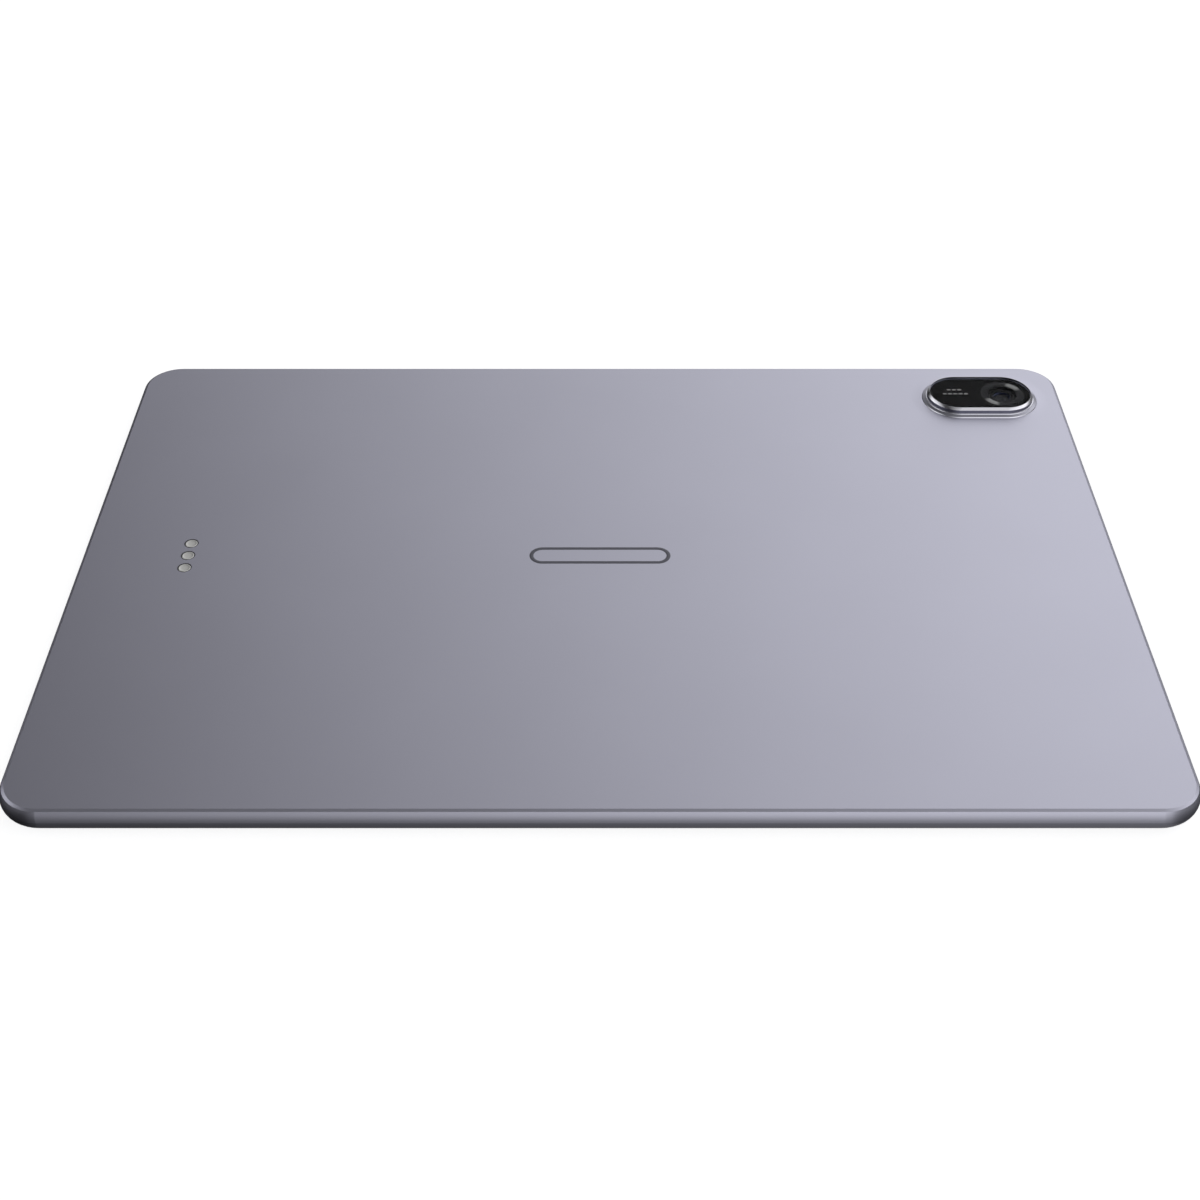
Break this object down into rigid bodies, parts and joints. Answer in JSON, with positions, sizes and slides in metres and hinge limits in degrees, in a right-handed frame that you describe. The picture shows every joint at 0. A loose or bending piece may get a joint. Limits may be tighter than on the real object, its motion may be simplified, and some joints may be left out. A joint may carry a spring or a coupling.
{
  "type": "tablet computer",
  "caption": "Slim flat tablet computer with a satin metal back, stepped camera island, side keys, charging port and glass front, lying face down.",
  "frame": {"origin": "centre of the front glass's outer face, which the tablet lies on", "axes": "+Z out of the back, +X along the long side towards the camera's end, +Y along the short side towards the camera's edge"},
  "size_m": [0.2608, 0.1772, 0.0093],
  "materials": {
    "anodised_shell": "satin, fine blasted and anodised",
    "anodised_key": "satin, fine blasted and anodised",
    "polished_ring": "anodised, with a polished bevel",
    "front_glass": "polished, clear",
    "camera_glass": "polished, dark",
    "black_print": "black printed layer",
    "clear_bond": "clear optical adhesive",
    "display_face": "dark switched-off display",
    "black_frame": "fine matt",
    "foam_tape": "matt black tape",
    "diffuser_film": "white, translucent",
    "light_guide": "clear acrylic with fine dots",
    "reflector": "bright white film",
    "tray_metal": "pressed sheet",
    "light_strip": "white strip with light sources",
    "ribbon": "amber polyimide ribbon",
    "cell_pouch": "dark laminated pouch",
    "board_green": "solder mask over glass fibre",
    "chip_black": "moulded, matt",
    "shield_tin": "thin pressed sheet",
    "thermal_grey": "soft grey pad",
    "graphite": "graphite sheet",
    "socket_black": "moulded, matt",
    "lead_black": "thin black lead",
    "screw_steel": "machined",
    "magnet_nickel": "nickel plated",
    "speaker_black": "moulded, matt",
    "mesh_black": "fine woven mesh",
    "port_steel": "pressed stainless steel",
    "port_black": "moulded tongue",
    "switch_metal": "domed switch",
    "bracket_steel": "pressed sheet",
    "camera_black": "fine matt black",
    "trim_brushed": "circular brushed, dark",
    "lens_clear": "coated glass",
    "sensor_silicon": "silicon under glass",
    "contact_plate": "plated contact",
    "bush_black": "moulded bush"
  },
  "bodies": {
    "housing": {"rear_cover": "anodised_shell", "cover_glass": "front_glass", "front_frame": "black_frame", "border_print": "black_print", "glass_adhesive": "foam_tape", "optical_adhesive": "clear_bond", "display_panel": "display_face", "backlight_tray": "tray_metal", "film_stack": "diffuser_film", "light_guide": "light_guide", "reflector_sheet": "reflector", "backlight_strip": "light_strip", "display_flex": "ribbon", "battery_cell_left": "cell_pouch", "battery_cell_right": "cell_pouch", "battery_tape": "foam_tape", "battery_board": "board_green", "battery_flex": "ribbon", "mainboard": "board_green", "port_board": "board_green", "processor": "chip_black", "memory_chips": "chip_black", "power_chips": "chip_black", "board_shield": "shield_tin", "thermal_pad": "thermal_grey", "graphite_sheet": "graphite", "board_connectors": "socket_black", "main_flex": "ribbon", "contact_flex": "ribbon", "side_key_flex": "ribbon", "antenna_strips": "ribbon", "antenna_lead": "lead_black", "board_screws": "screw_steel", "folio_magnets": "magnet_nickel", "speaker_near_left": "speaker_black", "speaker_near_right": "speaker_black", "speaker_far_left": "speaker_black", "speaker_far_right": "speaker_black", "speaker_meshes": "mesh_black", "microphones": "shield_tin", "usb_port_shell": "port_steel", "usb_port_tongue": "port_black", "power_switch": "switch_metal", "volume_switches": "switch_metal", "key_bracket": "bracket_steel", "camera_ring": "polished_ring", "camera_window": "camera_glass", "window_print": "black_print", "camera_board": "board_green", "image_sensor": "sensor_silicon", "camera_housing": "camera_black", "lens_trim": "trim_brushed", "front_camera": "camera_black", "light_sensor": "sensor_silicon", "contact_pads": "contact_plate", "contact_bushes": "bush_black"},
    "power_key": {"power_button": "anodised_key"},
    "volume_key": {"volume_rocker": "anodised_key"},
    "focus_lens": {"lens_barrel": "camera_black", "lens_glass": "lens_clear"}
  },
  "joints": [
    {"name": "power_press", "type": "slide", "parent": "housing", "child": "power_key", "axis": [0, -1, 0], "range_m": [0, 0.0003], "stiffness_N_per_m": 6000},
    {"name": "volume_rock", "type": "hinge", "parent": "housing", "child": "volume_key", "pos_m": [0.082, 0.0856, 0.0042], "axis": [0, 0, 1], "range_deg": [-1.2, 1.2], "stiffness_Nm_per_rad": 0.65},
    {"name": "focus_travel", "type": "slide", "parent": "housing", "child": "focus_lens", "axis": [0, 0, 1], "range_m": [0, 0.00025], "stiffness_N_per_m": 150}
  ]
}
